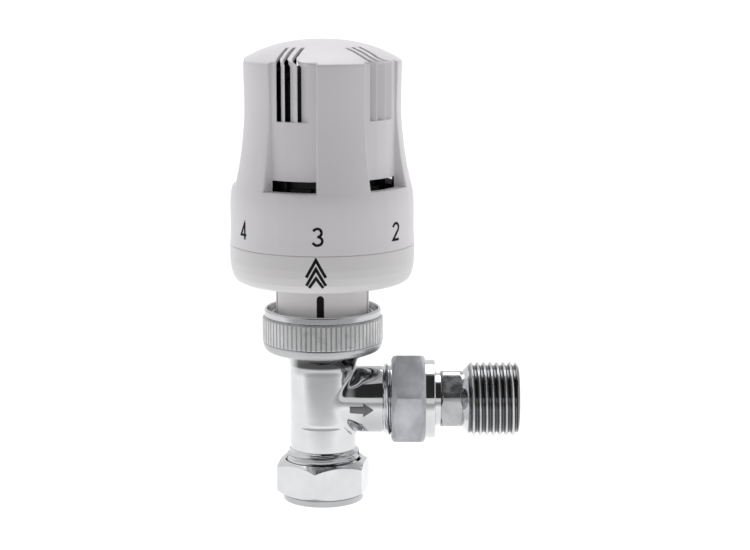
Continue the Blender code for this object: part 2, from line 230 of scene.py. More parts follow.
def hexagon(apothem, corner_round, first_corner, flat_steps):
    """Radius of a hexagon with rounded corners, by angles in order round it."""
    corner_steps = 4
    reach = {}
    corner_r = apothem / math.cos(math.pi / 6)
    centre_r = corner_r - corner_round / math.cos(math.pi / 6)
    for side in range(6):
        corner = first_corner + side * math.pi / 3
        for step in range(corner_steps + 1):
            lean = math.pi / 6 * (2 * step / corner_steps - 1)
            x = centre_r + corner_round * math.cos(lean)
            y = corner_round * math.sin(lean)
            reach[corner + math.atan2(y, x)] = math.hypot(x, y)
        tangent = math.atan2(y, x)
        for step in range(1, flat_steps):
            along = tangent + (math.pi / 3 - 2 * tangent) * step / flat_steps
            reach[corner + along] = apothem / math.cos(math.pi / 6 - along)
    return reach


LEAD_SLOPE = 1.2
THREAD_SAMPLES = 8


def thread_outline(angle, low, high, crest, depth, low_lead, high_lead):
    """Points up the side of a right-hand G 1/2 thread at one angle; the leads are its chamfers' depths."""
    pitch = G_HALF_PITCH
    turns = math.ceil((high - low) / pitch) + 1
    points = []
    for index in range(turns * THREAD_SAMPLES + 1):
        height = low + pitch * (index / THREAD_SAMPLES - 1 + angle / math.tau)
        height = min(max(height, low), high)
        phase = (height - low) / pitch - angle / math.tau
        wave = abs(2 * (phase % 1) - 1)
        radius = crest - depth * (1 - wave * wave * (3 - 2 * wave))
        radius = min(radius, crest - low_lead + (height - low) * LEAD_SLOPE)
        radius = min(radius, crest - high_lead + (high - height) * LEAD_SLOPE)
        points.append((radius, height))
    return points


# -------- materials

def add_node(owner, kind, inputs=(), **settings):
    """Adds a node to a material or world; inputs gives its sockets numbers or other nodes' sockets."""
    node = owner.node_tree.nodes.new("ShaderNode" + kind)
    for setting, value in settings.items():
        setattr(node, setting, value)
    for key, value in dict(inputs).items():
        if isinstance(value, bpy.types.NodeSocket):
            owner.node_tree.links.new(value, node.inputs[key])
        else:
            node.inputs[key].default_value = value
    return node


def reckon(owner, operation, *values):
    """Math node over numbers and sockets."""
    return add_node(owner, "Math", enumerate(values), operation=operation).outputs["Value"]


def length_of(owner, *parts):
    """Length of a vector of two parts."""
    squares = [reckon(owner, "MULTIPLY", part, part) for part in parts]
    return reckon(owner, "SQRT", reckon(owner, "ADD", *squares))


def share_between(owner, value, low, high, interpolation="LINEAR"):
    """How far a value has come from low to high, as 0 to 1."""
    inputs = {"Value": value, "From Min": low, "From Max": high}
    return add_node(owner, "MapRange", inputs, interpolation_type=interpolation).outputs["Result"]


def coordinates(owner, kind="Object"):
    """X, Y and Z sockets of a texture coordinate."""
    split = add_node(owner, "SeparateXYZ", {"Vector": add_node(owner, "TexCoord").outputs[kind]})
    return split.outputs["X"], split.outputs["Y"], split.outputs["Z"]


def new_material(name, metallic, roughness):
    """Material with its shader."""
    mat = bpy.data.materials.new(name)
    mat.use_nodes = True
    shader = mat.node_tree.nodes["Principled BSDF"]
    shader.inputs["Metallic"].default_value = metallic
    shader.inputs["Roughness"].default_value = roughness
    return mat, shader


def noise(mat, scale, detail, stretch=(1, 1, 1)):
    """Noise in the piece's own coordinates; scale counts features to the metre."""
    coords = add_node(mat, "TexCoord").outputs["Object"]
    mapping = add_node(mat, "Mapping", {"Vector": coords, "Scale": stretch})
    inputs = {"Vector": mapping.outputs["Vector"], "Scale": scale, "Detail": detail}
    return add_node(mat, "TexNoise", inputs).outputs["Fac"]


def ramp(mat, value, stops):
    """Maps a value through (place, colour or grey) stops."""
    node = add_node(mat, "ValToRGB", {"Fac": value})
    elements = node.color_ramp.elements
    while len(elements) < len(stops):
        elements.new(0.5)
    for element, (position, colour) in zip(elements, stops):
        element.position = position
        element.color = (*colour, 1) if isinstance(colour, tuple) else (colour, colour, colour, 1)
    return node.outputs["Color"]


def add_bump(mat, shader, heights, distance):
    """Bump from a height value, over any bump there is; distance is the real height in metres."""
    normal = shader.inputs["Normal"]
    inputs = {"Distance": distance, "Height": heights}
    if normal.links:
        inputs["Normal"] = normal.links[0].from_socket
    mat.node_tree.links.new(add_node(mat, "Bump", inputs).outputs["Normal"], normal)


def plastic(name, colour, roughness, grain=0.0000012):
    """Satin moulded plastic: faint flow clouds in the colour and a fine moulded grain."""
    mat, shader = new_material(name, 0.0, roughness)
    links = mat.node_tree.links
    darker = tuple(c * 0.985 for c in colour)
    links.new(ramp(mat, noise(mat, 60, 2.0), [(0.3, darker), (0.7, colour)]), shader.inputs["Base Color"])
    links.new(ramp(mat, noise(mat, 420, 5.0), [(0.3, roughness * 0.95), (0.75, roughness * 1.08)]),
              shader.inputs["Roughness"])
    add_bump(mat, shader, noise(mat, 3500, 2.0), grain)
    add_bump(mat, shader, noise(mat, 70, 1.0), grain * 3)
    return mat


def metal(name, colour, roughness, waviness=0.0, stretch=(1, 1, 1), scratch=0.0, patina=0.93, metallic=1.0):
    """Metal with slow waves in its surface, fine drawn scratches and a clouded polish.

    waviness and scratch are heights in metres; patina is the clouds' share of the colour.
    """
    mat, shader = new_material(name, metallic, roughness)
    links = mat.node_tree.links
    darker = tuple(c * patina for c in colour)
    links.new(ramp(mat, noise(mat, 150, 5.0), [(0.35, darker), (0.65, colour)]),
              shader.inputs["Base Color"])
    links.new(ramp(mat, noise(mat, 380, 6.0, stretch), [(0.3, roughness * 0.6), (0.75, roughness * 1.6)]),
              shader.inputs["Roughness"])
    if waviness:
        add_bump(mat, shader, noise(mat, 110, 2.0), waviness)
    if scratch:
        add_bump(mat, shader, noise(mat, 1800, 4.0, stretch), scratch)
    return mat


def multiply_colour(mat, tint, factor):
    """Multiplies the base colour by a tint, to the share that factor gives."""
    links = mat.node_tree.links
    base = mat.node_tree.nodes["Principled BSDF"].inputs["Base Color"]
    mix = add_node(mat, "Mix", {"Factor": factor}, data_type="RGBA", blend_type="MULTIPLY")
    one, two = (socket for socket in mix.inputs if socket.type == "RGBA")
    links.new(base.links[0].from_socket, one)
    links.new(tint, two)
    links.new(next(socket for socket in mix.outputs if socket.type == "RGBA"), base)


def shade_band(mat, stops, side):
    """Paints shade into a metal's colour by height, for the dark reflections and shade that things near it
    would give; stops are (millimetres, share).

    The band sets in along X between the two places of side, in millimetres.
    """
    x, _, z = coordinates(mat)
    low, high = stops[0][0], stops[-1][0]
    height = share_between(mat, z, low * MM, high * MM)
    tint = ramp(mat, height, [((place_z - low) / (high - low), share) for place_z, share in stops])
    multiply_colour(mat, tint, share_between(mat, x, side[0] * MM, side[1] * MM))


def shade_by_radius(mat, low, high, stops):
    """Paints shade into a metal's colour by its radius about the branch, from low to high in millimetres."""
    _, y, z = coordinates(mat)
    radius = length_of(mat, y, reckon(mat, "SUBTRACT", z, BRANCH_Z * MM))
    multiply_colour(mat, ramp(mat, share_between(mat, radius, low * MM, high * MM), stops), 1.0)


CHROME_COLOUR = (0.71, 0.715, 0.73)

DIAL_WHITE = plastic("dial_abs", (0.83, 0.81, 0.835), 0.42)
# Black for the dial's inner skin and window walls: painted shade inside the white shell.
DIAL_INSIDE_SHADE = plastic("dial_inside_painted_shade", (0.03, 0.03, 0.03), 0.7)
BASE_WHITE = plastic("base_abs", (0.79, 0.775, 0.78), 0.38)
NECK_WHITE = plastic("neck_abs", (0.70, 0.685, 0.69), 0.4)
CHROME_TURNED = metal("turned_chrome", CHROME_COLOUR, 0.09, 0.000006, (1, 1, 12), 0.0000006)
CHROME_CAST = metal("cast_chrome", CHROME_COLOUR, 0.08, 0.00003)
# Painted dark reflection under the head, from the -X side on, and painted shade along the underside of the
# branch.
shade_band(CHROME_CAST, [(36.4, 1.0), (37.6, 0.76), (38.6, 0.72), (39.2, 0.1), (41.5, 0.08), (43.5, 0.5)],
           (-9.0, -6.5))
shade_band(CHROME_CAST, [(17.0, 0.58), (21.5, 0.72), (25.5, 0.88), (28.5, 1.0)], (8.8, 11.5))
CHROME_HEX = metal("milled_chrome", CHROME_COLOUR, 0.16, 0.00001, (6, 1, 1), 0.000001)
CHROME_UNION = metal("scuffed_chrome", (0.62, 0.635, 0.675), 0.4, 0.000008, patina=0.62, metallic=0.15)
CHROME_DULL = metal("tumbled_chrome", (0.52, 0.525, 0.54), 0.26, 0.000004, patina=0.75, metallic=0.92)
CHROME_THREAD = metal("thread_chrome", (0.66, 0.665, 0.68), 0.14, 0.0, (1, 1, 12), 0.0000006)
# Painted shade down the thread's flanks and roots; the crests keep the full colour.
shade_by_radius(CHROME_THREAD, 9.3, 10.5, [(0.0, 0.75), (0.1, 0.3), (0.6, 0.4), (0.8, 1.0)])
# Dark chrome of the flow arrow: painted shade, not the metal's own colour.
ARROW_SHADE_CHROME = metal("arrow_painted_shade", (0.16, 0.16, 0.17), 0.3)
CHROME_COLLAR = metal("collar_chrome", (0.5, 0.505, 0.52), 0.2, 0.000006, (1, 1, 12), 0.0000006)
CHROME_FLUTED = metal("fluted_chrome", (0.62, 0.625, 0.63), 0.36, 0.000002)
CHROME_FOOT = metal("foot_chrome", (0.52, 0.525, 0.535), 0.3, 0.000004, (1, 1, 12))
CHROME_RIM = metal("rim_chrome", (0.58, 0.585, 0.595), 0.16, 0.000014, (1, 1, 4))
BRASS = metal("turned_brass", (0.72, 0.5, 0.22), 0.28, 0.0, (1, 1, 14), 0.000002)
STEEL = metal("drawn_steel", (0.55, 0.55, 0.57), 0.25, 0.0, (1, 1, 10), 0.000002)
ALUMINIUM = metal("drawn_aluminium", (0.7, 0.71, 0.73), 0.35, 0.0, (1, 1, 10), 0.000003)
BLACK_PLASTIC = plastic("black_nylon", (0.012, 0.011, 0.011), 0.5, 0.00001)
RUBBER = plastic("seal_rubber", (0.012, 0.012, 0.012), 0.8, 0.00002)
INK = plastic("black_ink", (0.006, 0.006, 0.006), 0.6, 0.000002)
INK.node_tree.nodes["Principled BSDF"].inputs["Specular IOR Level"].default_value = 0.15


# -------- dial

EDGE_ROUND = 0.12
DIAL_WALL = 1.2
POCKETS = 5
SECTOR = math.tau / POCKETS
FIRST_POCKET = math.radians(-110)
POCKET_R = 21.2
# Half angles of a pocket at the foot and the top of its side walls, and how much wider each is
# for every millimetre inside the outer skin.
POCKET_HALF = math.radians(17.8)
LOBE_EDGE = math.radians(18.3)
INNER_SPREAD = 1 / 13
WINDOW_HALF = 6.2
INNER_WINDOW_HALF = 7.6
LEDGE = 89.65
LEDGE_ROUND = 0.5
LEDGE_STEPS = 4
# Depth of pocket over which the ledge's rounding sets in.
LEDGE_FADE = 1.5
WINDOW_TOP = 92.5
SLOT_LOW = 108.3
SLOT_END = 13.0
RIM_ROUND = 1.0
RIM_TURN = math.radians(58)
RIM_STEPS = 4
DOME_TRAVELS = (1.6, 2.8, 4.0, 5.2, 6.6)
APEX_SHARES = (0.84, 0.67, 0.5, 0.34, 0.17, 0.0)
TOP_LOBE_R = 22.0
SKIRT_INNER_R = 23.2
# Places along a pocket of the three slots' edges and of a column down the two wide ones: on the wall
# outside and inside, and on the dome. Each slot leans, and its far flank rises gently to the next rib.
SLOTS_OUTSIDE = (-4.75, -2.5, -2.15, -0.5, 1.15, 1.5, 3.05, 4.6)
SLOTS_INSIDE = (-5.2, -3.85, -2.7, -1.85, -1.0, 0.8, 1.45, 2.1)
SLOTS_ON_DOME = (-5.3, -4.3, -3.2, -2.65, -2.1, -0.7, -0.1, 0.5)
SLOT_COLUMNS = (1, 3, 4, 6, 7)
LOBE_COLUMNS = 10
POCKET_COLUMNS = len(SLOTS_OUTSIDE) + 2
LOBE_SIDE = curve_through([
    (73.4, 25.5), (77, 25.32), (82, 25.32), (86, 25.27), (88.2, 24.97), (90.5, 24.4), (95, 23.45),
    (99.4, 22.72), (104.3, 22.15), (109, 21.8), (113, 21.75), (118, 21.9), (123.3, TOP_LOBE_R)])
SKIRT_ROWS = (DIAL_LOW - 0.07, 74.5, 75.5, 76.5, 77.3, 78, 79, 80, 81, 82, 83, 84, 86, 87.5, 88.6,
              LEDGE - LEDGE_ROUND)
WALL_ROWS = (91.0, WINDOW_TOP, 94, 96, 98.5, 101, 103.5, 106, SLOT_LOW, 110, 112.5, 116, 120)


def lobe_radius(height):
    """Radius of the dial over its lobes and its skirt."""
    return float(np.interp(height, [z for z, r in LOBE_SIDE], [r for z, r in LOBE_SIDE]))


def dome_height(radius):
    """Height of the dial's top, nearly flat in the middle."""
    return DIAL_HIGH - 0.5 * (radius / 8) ** 2.4


def pocket_edges(inset, on_dome=0.0):
    """Places along the pocket of its columns: its ends and the slots' edges."""
    walls = SLOTS_INSIDE if inset else SLOTS_OUTSIDE
    slots = [a + (b - a) * on_dome for a, b in zip(walls, SLOTS_ON_DOME)]
    half = INNER_WINDOW_HALF if inset else WINDOW_HALF
    return [-half, *slots, half]


def sector_outline(lobe_r, inset, on_dome=0.0):
    """One fifth of the dial's section: a pocket, its side wall, a lobe, and the next side wall.

    Points are (outward, along) in the pocket's own frame; inset is how far inside the outer skin
    this skin lies.
    """
    radius, low_r = lobe_r - inset, POCKET_R - inset
    foot, top = POCKET_HALF + inset * INNER_SPREAD, LOBE_EDGE + inset * INNER_SPREAD
    step = (SECTOR - 2 * top) / (LOBE_COLUMNS + 1)
    pocket = [(math.sqrt(low_r ** 2 - u * u), u) for u in pocket_edges(inset, on_dome)]
    side = soften([pocket[-1], (*polar(low_r, foot), 0.3), (*polar(radius, top), 0.5),
                   polar(radius, top + step)], 0.5, 4, False)[1:-1]
    lobe = [polar(radius, top + step * k) for k in range(1, LOBE_COLUMNS + 1)]
    turn_cos, turn_sin = polar(1, SECTOR)
    mirrored = [(x * turn_cos + y * turn_sin, x * turn_sin - y * turn_cos) for x, y in reversed(side)]
    return pocket + side + lobe + mirrored


def over_dome(point, travel, half):
    """Where a lobe's column has moved to once the wall has travelled inward over the dome."""
    radius, angle = math.hypot(*point), math.atan2(point[1], point[0])
    out = math.sqrt(POCKET_R ** 2 - half ** 2)
    start, now = math.atan2(half, out), math.atan2(half, out - travel)
    new_angle = now + (angle - start) / (SECTOR - 2 * start) * (SECTOR - 2 * now)
    return polar(radius + math.hypot(out - travel, half) - math.hypot(out, half), new_angle)


def wall_rows(columns, inset):
    """Rows from the skirt's foot, over the ledge and up to the rim."""
    ledge = sector_outline(lobe_radius(LEDGE), inset)
    plate = LEDGE - inset
    for height in SKIRT_ROWS:
        radius = min(lobe_radius(height) - inset, SKIRT_INNER_R) if inset else lobe_radius(height)
        for column, (x, y) in zip(columns, ledge):
            column.append((*polar(radius, math.atan2(y, x)), min(height, plate - 0.3)))
    radius = lobe_radius(LEDGE) - inset
    for step in range(1, LEDGE_STEPS + 1):
        lean = math.pi / 2 * step / LEDGE_STEPS
        height = plate if inset else LEDGE - LEDGE_ROUND * (1 - math.sin(lean))
        for column, (x, y) in zip(columns, ledge):
            depth = min(max((radius - math.hypot(x, y)) / LEDGE_FADE, 0), 1)
            edge = (radius if inset else lobe_radius(height)) - LEDGE_ROUND * (1 - math.cos(lean)) * depth
            column.append((*polar(edge, math.atan2(y, x)), height))
    for column, (x, y) in zip(columns, ledge):
        column.append((x, y, plate))
    for height in WALL_ROWS:
        for column, (x, y) in zip(columns, sector_outline(lobe_radius(height), inset)):
            column.append((x, y, height))


def dome_rows(columns, inset):
    """Rows round the rim, over the dome to the slots' ends, and on to the apex."""
    leans = [RIM_TURN * k / RIM_STEPS for k in range(RIM_STEPS + 1)]
    rounding = [(RIM_ROUND * (1 - math.cos(lean)), RIM_ROUND * (math.sin(RIM_TURN) - math.sin(lean)), k / 6)
                for k, lean in enumerate(leans)]
    reach = rounding[-1][0]
    full_travel = POCKET_R - SLOT_END
    shorter = (full_travel - inset) / full_travel
    levels = rounding + [(travel, 0.0, 1.0) for travel in (*DOME_TRAVELS, full_travel)]
    half = math.sin(POCKET_HALF) * POCKET_R
    for travel, drop, on_dome in levels:
        wall = sector_outline(TOP_LOBE_R, inset, on_dome)
        for index, (column, point) in enumerate(zip(columns, wall)):
            here, beyond = (
                (point[0] - moved, point[1]) if index < POCKET_COLUMNS else over_dome(point, moved, half)
                for moved in (travel * shorter, max(travel, reach) * shorter))
            column.append((*here, dome_height(math.hypot(*beyond)) - drop - inset))
    last = len(columns[0]) - 1
    for share in APEX_SHARES:
        for column in columns:
            x, y = column[last][0] * share, column[last][1] * share
            column.append((x, y, dome_height(math.hypot(x, y)) - inset))


def dial_skin(inset):
    """All columns of one skin of the dial, from the skirt's foot to the apex."""
    columns = [[] for _ in sector_outline(TOP_LOBE_R, inset)]
    wall_rows(columns, inset)
    dome_rows(columns, inset)
    skin = []
    for sector in range(POCKETS):
        turn_cos, turn_sin = polar(1, FIRST_POCKET + sector * SECTOR)
        for column in columns:
            skin.append([(x * turn_cos - y * turn_sin, x * turn_sin + y * turn_cos, z)
                         for x, y, z in column])
    return skin


def make_dial():
    """Shell of two matching skins, joined round the skirt, the windows and the slots."""
    outer, inner = dial_skin(0.0), dial_skin(DIAL_WALL)
    per_sector, heights = len(outer) // POCKETS, [point[2] for point in outer[0]]
    ledge_row = len(SKIRT_ROWS) + LEDGE_STEPS
    window_row, slot_row = heights.index(WINDOW_TOP), heights.index(SLOT_LOW)
    slot_end_row = len(heights) - len(APEX_SHARES) - 1

    def keep(c, r):
        column = c % per_sector
        in_window = column < POCKET_COLUMNS - 1 and ledge_row <= r < window_row
        in_slot = column in SLOT_COLUMNS and slot_row <= r < slot_end_row
        return not (in_window or in_slot)

    bm = bmesh.new()
    weight = bm.edges.layers.float.new("bevel_weight_edge")
    skins = []
    for skin in (outer, inner):
        made = len(bm.faces)
        skins.append(add_grid(bm, skin, False, True, keep))
        bm.faces.ensure_lookup_table()
        for face in bm.faces[made:]:
            # The inner skin takes the second material, whose black is painted shade.
            face.material_index = int(skin is inner)
    partner = {}
    for outer_column, inner_column in zip(*skins):
        partner.update(zip(outer_column, inner_column))
    open_edges = [edge for edge in bm.edges if edge.is_boundary and edge.verts[0] in partner
                  and edge.calc_length() > 1e-4]
    for edge in open_edges:
        a, b = edge.verts
        wall = bm.faces.new((b, a, partner[a], partner[b]))
        low, high = sorted((a.co.z, b.co.z))
        # Walls round the windows take the black as well: painted shade.
        wall.material_index = int(high < WINDOW_TOP + 0.1 and low > LEDGE - 0.1)
        edge[weight] = 1.0
    loose = [vert for vert in bm.verts if not vert.link_faces]
    bmesh.ops.delete(bm, geom=loose, context="VERTS")
    dial = make_object("dial_shell", bm, DIAL_WHITE)
    dial.data.materials.append(DIAL_INSIDE_SHADE)
    bevel_then_weight(dial, EDGE_ROUND, limit_method="WEIGHT", use_clamp_overlap=False)
    place(dial, "dial", "dial_white", "dial_cap")


# -------- head and neck

def make_base_ring():
    """White fixed cup under the dial, with a step that the dial's skirt turns round."""
    ring = lathe("base_ring_skin", [
        (25.5, 73.26), (25.5, 69.2), (25.28, 67, 2), (24.8, 65.0, 1.5), (24.0, 63.5, 1.2), (22.6, 62.75, 1.5),
        (20.4, BASE_LOW), (13.35, BASE_LOW), (13.35, 65.2), (20.4, 65.2), (20.4, 71.6), (21.0, 71.6),
        (21.0, 75.8), (22.8, 75.8), (22.8, 73.26)], BASE_WHITE, 0.3, 4, 160)
    place(ring, "root", "base_white", "base_ring")


NECK_R = 13.0


def make_neck():
    """Split neck: a tube with two slits each side, standing on the collar under the ring."""
    outer, inner, collar = NECK_R, 11.1, 13.95
    slit_at, slit_half = math.radians(74), math.radians(2.2)
    centres = [front + sign * slit_at for front in (-math.pi / 2, math.pi / 2) for sign in (-1, 1)]
    marks = sorted(mark % math.tau for centre in centres for mark in (centre - slit_half, centre + slit_half))
    angles, slits = [], []
    for index, (mark, following) in enumerate(zip(marks, [*marks[1:], marks[0] + math.tau])):
        if index % 2 == 0:
            slits.append(len(angles))
            angles.append(mark)
        else:
            steps = max(4, round((following - mark) / math.radians(3)))
            angles += [mark + (following - mark) * step / steps for step in range(steps)]
    rows = [(20.0, 66.2), (20.0, 64.7), (outer, 64.7), (outer, 61.5), (outer, 50.7), (collar, 50.5),
            (collar, 49.35), (inner, 49.35), (inner, 61.5), (inner, 62.5), (2.9, 62.5), (2.9, 66.2)]
    slit_top, slit_back = 3, 8
    bm = bmesh.new()
    points = [[(*polar(r, angle), z) for r, z in rows] for angle in angles]
    grid = add_grid(bm, points, True, True, lambda c, r: c not in slits or not slit_top <= r < slit_back)
    for c in slits:
        column, other = grid[c], grid[(c + 1) % len(grid)]
        bm.faces.new((column[slit_top], other[slit_top], other[slit_back], column[slit_back]))
        bm.faces.new(column[slit_top:slit_back + 1])
        bm.faces.new(other[slit_top:slit_back + 1])
    neck = make_object("neck_skin", bm, NECK_WHITE)
    bevel_then_weight(neck, EDGE_ROUND, limit_method="ANGLE", angle_limit=math.radians(50))
    place(neck, "root", "neck_white", "neck_tube")


RING_FLUTES = 76
RING_FLUTE_R = 16.75
RING_FLUTE_DEPTH = 0.36
RING_FLUTES_LOW, RING_FLUTES_HIGH = 45.5, 52.5
RING_CORE_R = 15.9
# Places across one flute, as (share of its pitch, share of its depth).
FLUTE_SHAPE = ((0.0, 1.0), (0.1, 0.7), (0.17, 0.0), (0.5, -0.06), (0.83, 0.0), (0.9, 0.7))


def make_union_ring():
    """Ring in three pieces: a smooth foot, a band of narrow flutes and a cupped rim."""
    foot = lathe("union_ring_foot", [
        (14.3, RING_LOW), (14.9, RING_LOW), (15.9, 43.35), (16.45, 44.3), (16.6, 45.2), (16.5, 45.5),
        (RING_CORE_R, 45.6), (RING_CORE_R, 51.5), (14.3, 51.5)], CHROME_FOOT, 0.3)
    rim = lathe("union_ring_rim", [
        (13.35, 51.05), (RING_CORE_R, 51.05), (RING_CORE_R, 52.75), (16.2, 53.0), (16.25, 54.4),
        (16.05, 54.75), (15.85, 54.9), (15.6, 54.9), (15.45, 54.7), (15.1, 52.9), (14.9, 52.55),
        (13.35, 52.5)], CHROME_RIM, 0.25)
    depth_at = {}
    for flute in range(RING_FLUTES):
        for share, deep in FLUTE_SHAPE:
            depth_at[math.tau * (flute + share) / RING_FLUTES] = deep * RING_FLUTE_DEPTH

    def section(angle):
        sunk = depth_at[angle]
        side = RING_FLUTE_R - sunk
        shoulder = RING_FLUTE_R - 0.1 - 0.6 * sunk
        low, high = RING_FLUTES_LOW, RING_FLUTES_HIGH
        return [(RING_CORE_R - 0.1, low), (RING_FLUTE_R - 0.35, low), (shoulder, low + 0.15),
                (side, low + 0.45), (side, high - 0.45), (shoulder, high - 0.15),
                (RING_FLUTE_R - 0.45, high), (RING_CORE_R - 0.1, high)]

    knurl = revolve("union_ring_flutes", section, list(depth_at), CHROME_FLUTED, sharp_degrees=30)
    for piece in (foot, rim, knurl):
        place(piece, "ring", "chrome", "union_ring")


# -------- printed marks

STROKE_STEP = 0.35
MITRE_LIMIT = 0.35


def unit(vector):
    """The vector's direction, one long."""
    return vector / np.linalg.norm(vector)


def stroke_plate(bm, path, width, surface, lift, cover):
    """Thin raised ribbon along a path of (along, up) points, laid on a surface by surface(s, z, lift).

    It stands lift above the surface and reaches cover below it.
    """
    points = [np.array(point, float) for point in path]
    dense = [points[0]]
    for a, b in zip(points, points[1:]):
        steps = max(1, int(np.linalg.norm(b - a) / STROKE_STEP))
        dense += [a + (b - a) * k / steps for k in range(1, steps + 1)]
    rings = []
    last = len(dense) - 1
    for index, point in enumerate(dense):
        before, after = dense[max(index - 1, 0)], dense[min(index + 1, last)]
        along = unit(after - before)
        stretch = 1 / max(MITRE_LIMIT, abs(along @ unit(point - before))) if 0 < index < last else 1.0
        side = np.array((-along[1], along[0])) * width / 2 * stretch
        corners = [(point + side, lift), (point - side, lift), (point - side, -cover), (point + side, -cover)]
        rings.append([bm.verts.new(surface(*corner, height)) for corner, height in corners])
    for one, two in zip(rings, rings[1:]):
        join_rings(bm, one, two)
    bm.faces.new(rings[0])
    bm.faces.new(list(reversed(rings[-1])))


def wrapped(radius_at, centre_degrees, centre_z):
    """Surface function that lays flat artwork on a turned skin, its centre at an angle and height."""
    centre = math.radians(centre_degrees - 90)

    def surface(s, z, lift):
        height = centre_z + z
        radius = radius_at(height)
        return (*polar(radius + lift, centre + s / radius), height)

    return surface


def arc(cx, cy, rx, ry, start, end, steps=14):
    """Points along an upright ellipse between two angles in degrees."""
    angles = [math.radians(start + (end - start) * k / steps) for k in range(steps + 1)]
    return [(cx + rx * math.cos(angle), cy + ry * math.sin(angle)) for angle in angles]


# Strokes of the dial's marks, as (along, up) points; "0" is the frost mark, a plain star.
GLYPHS = {
    "3": [arc(-0.05, 1.13, 1.1, 1.1, 160, -90), arc(-0.05, -1.1, 1.3, 1.15, 92, -160)],
    "4": [[(0.55, -2.25), (0.55, 2.2), (-1.3, -1.05), (1.25, -1.05)]],
    "2": [arc(0.0, 1.05, 1.2, 1.2, 170, -35) + [(-1.2, -2.2), (1.3, -2.2)]],
    "1": [[(-0.75, 1.35), (0.2, 2.2), (0.2, -2.25)]],
    "5": [[(1.05, 2.2), (-0.75, 2.2), (-0.95, 0.35)] + arc(-0.05, -0.75, 1.25, 1.45, 130, -150)],
    "0": [[(0.0, 1.6), (0.0, -1.6)], [(-1.4, 0.8), (1.4, -0.8)], [(-1.4, -0.8), (1.4, 0.8)]],
}


def make_numerals():
    """Dial marks round the skirt, which turn with the dial."""
    bm = bmesh.new()
    for glyph, degrees in (("3", -1.3), ("4", -55.2), ("2", 53), ("1", 106), ("0", 160), ("5", -110)):
        surface = wrapped(lobe_radius, degrees, 78.5)
        for path in GLYPHS[glyph]:
            stroke_plate(bm, path, 0.68, surface, 0.05, 0.12)
    place(make_object("dial_numerals", bm, INK), "dial", "dial_white")


def base_radius(height):
    """Radius of the base ring's skin where the chevrons are printed."""
    heights, radii = [62.75, 63.5, 65.0, 67, 69.2, 73.2], [22.9, 24.0, 24.78, 25.27, 25.5, 25.5]
    return float(np.interp(height, heights, radii))


def make_chevrons():
    """Three stacked chevrons that point at the dial's mark."""
    bm = bmesh.new()
    surface = wrapped(base_radius, -2.4, 0)
    for tip, leg, low in ((72.3, 2.6, 67.6), (69.9, 2.6, 65.3), (67.4, 1.9, 64.7)):
        stroke_plate(bm, [(-leg, low), (0, tip), (leg, low)], 0.78, surface, 0.05, 0.2)
    place(make_object("index_chevrons", bm, INK), "root", "base_white")


def make_index_line():
    """Black line with a round top on the neck, as a thin plate bent round it."""
    bm = bmesh.new()
    surface = wrapped(lambda z: NECK_R, -1.2, 0)
    half, low, round_z, lift, cover = 1.0, 53.0, 59.35, 0.03, 0.08
    outline = [(half, low), *arc(0, round_z, half, half, 0, 180, 10), (-half, low)]
    outer, inner, middle_out, middle_in = (
        [bm.verts.new(surface(s * across, z, height)) for s, z in outline]
        for across, height in ((1, lift), (1, -cover), (0, lift), (0, -cover)))
    join_rings(bm, outer, inner)
    for k in range(len(outline) - 1):
        bm.faces.new((outer[k], outer[k + 1], middle_out[k + 1], middle_out[k]))
        bm.faces.new((inner[k + 1], inner[k], middle_in[k], middle_in[k + 1]))
    bm.faces.new((outer[-1], outer[0], middle_out[0]))
    bm.faces.new((inner[0], inner[-1], middle_in[0]))
    place(make_object("neck_index_line", bm, INK), "root", "neck_white")


# -------- valve body

TUBE_R = 9.2
BRANCH_R = 9.3
FLARE_START, FLARE_END = 37.5, 43.5
FLARE_REACH = 4.6
WAIST_START, WAIST_END = 4, 11
WAIST_DEPTH = 1.2
# Heights and place along the branch where the casting's skin ends.
SKIN_LOW, SKIN_HIGH, SKIN_END = 15.3, 43.0, 16.5
SKIN_MESH = 0.4
# Width over which the tube and the branch run into each other.
BLEND = 0.8
GROOVE_Z = 22.2
GROOVE_DEPTH = 0.1
GROOVE_HALF = 0.14
# Size of the flat caps inside the skin's ends, to its radius there.
CAP_SHARE = 0.86
BODY_CREST_R = 10.2
BODY_THREAD_DEPTH = G_HALF_DEPTH * 0.8


def tube_radius(z):
    """Radius of the upright tube, flaring out under the head."""
    rise = np.clip((z - FLARE_START) / (FLARE_END - FLARE_START), 0, 1)
    return TUBE_R + FLARE_REACH * rise ** 2.3


def branch_radius(x):
    """Radius of the branch, which is waisted where it leaves the tube."""
    share = np.clip((x - WAIST_START) / (WAIST_END - WAIST_START), 0, 1)
    return BRANCH_R - WAIST_DEPTH * (1 - share * share * (3 - 2 * share))


def parting_groove(points):
    """Shallow parting line round the tube, which dies away towards the branch."""
    x, _, z = points.T
    fade = np.clip((7.0 - x) / 4, 0, 1)
    return GROOVE_DEPTH * fade * np.exp(-((z - GROOVE_Z) / GROOVE_HALF) ** 2)


def body_field(points):
    """Smoothly joined tube and branch: negative inside, zero on the casting's skin."""
    x, y, z = points.T
    tube = np.hypot(x, y) - tube_radius(z) + parting_groove(points)
    branch = np.hypot(y, z - BRANCH_Z) - branch_radius(x)
    branch = np.maximum(branch, -x)
    mix = np.clip(0.5 + 0.5 * (branch - tube) / BLEND, 0, 1)
    return branch * (1 - mix) + tube * mix - BLEND * mix * (1 - mix)


def to_skin(points):
    """Moves points onto the skin along the field's slope."""
    step = 0.01
    for _ in range(5):
        value = body_field(points)
        slope = np.stack([(body_field(points + step * axis) - body_field(points - step * axis)) / (2 * step)
                          for axis in np.eye(3)], axis=1)
        points = points - (value / np.maximum((slope ** 2).sum(axis=1), 0.05))[:, None] * slope
    return points


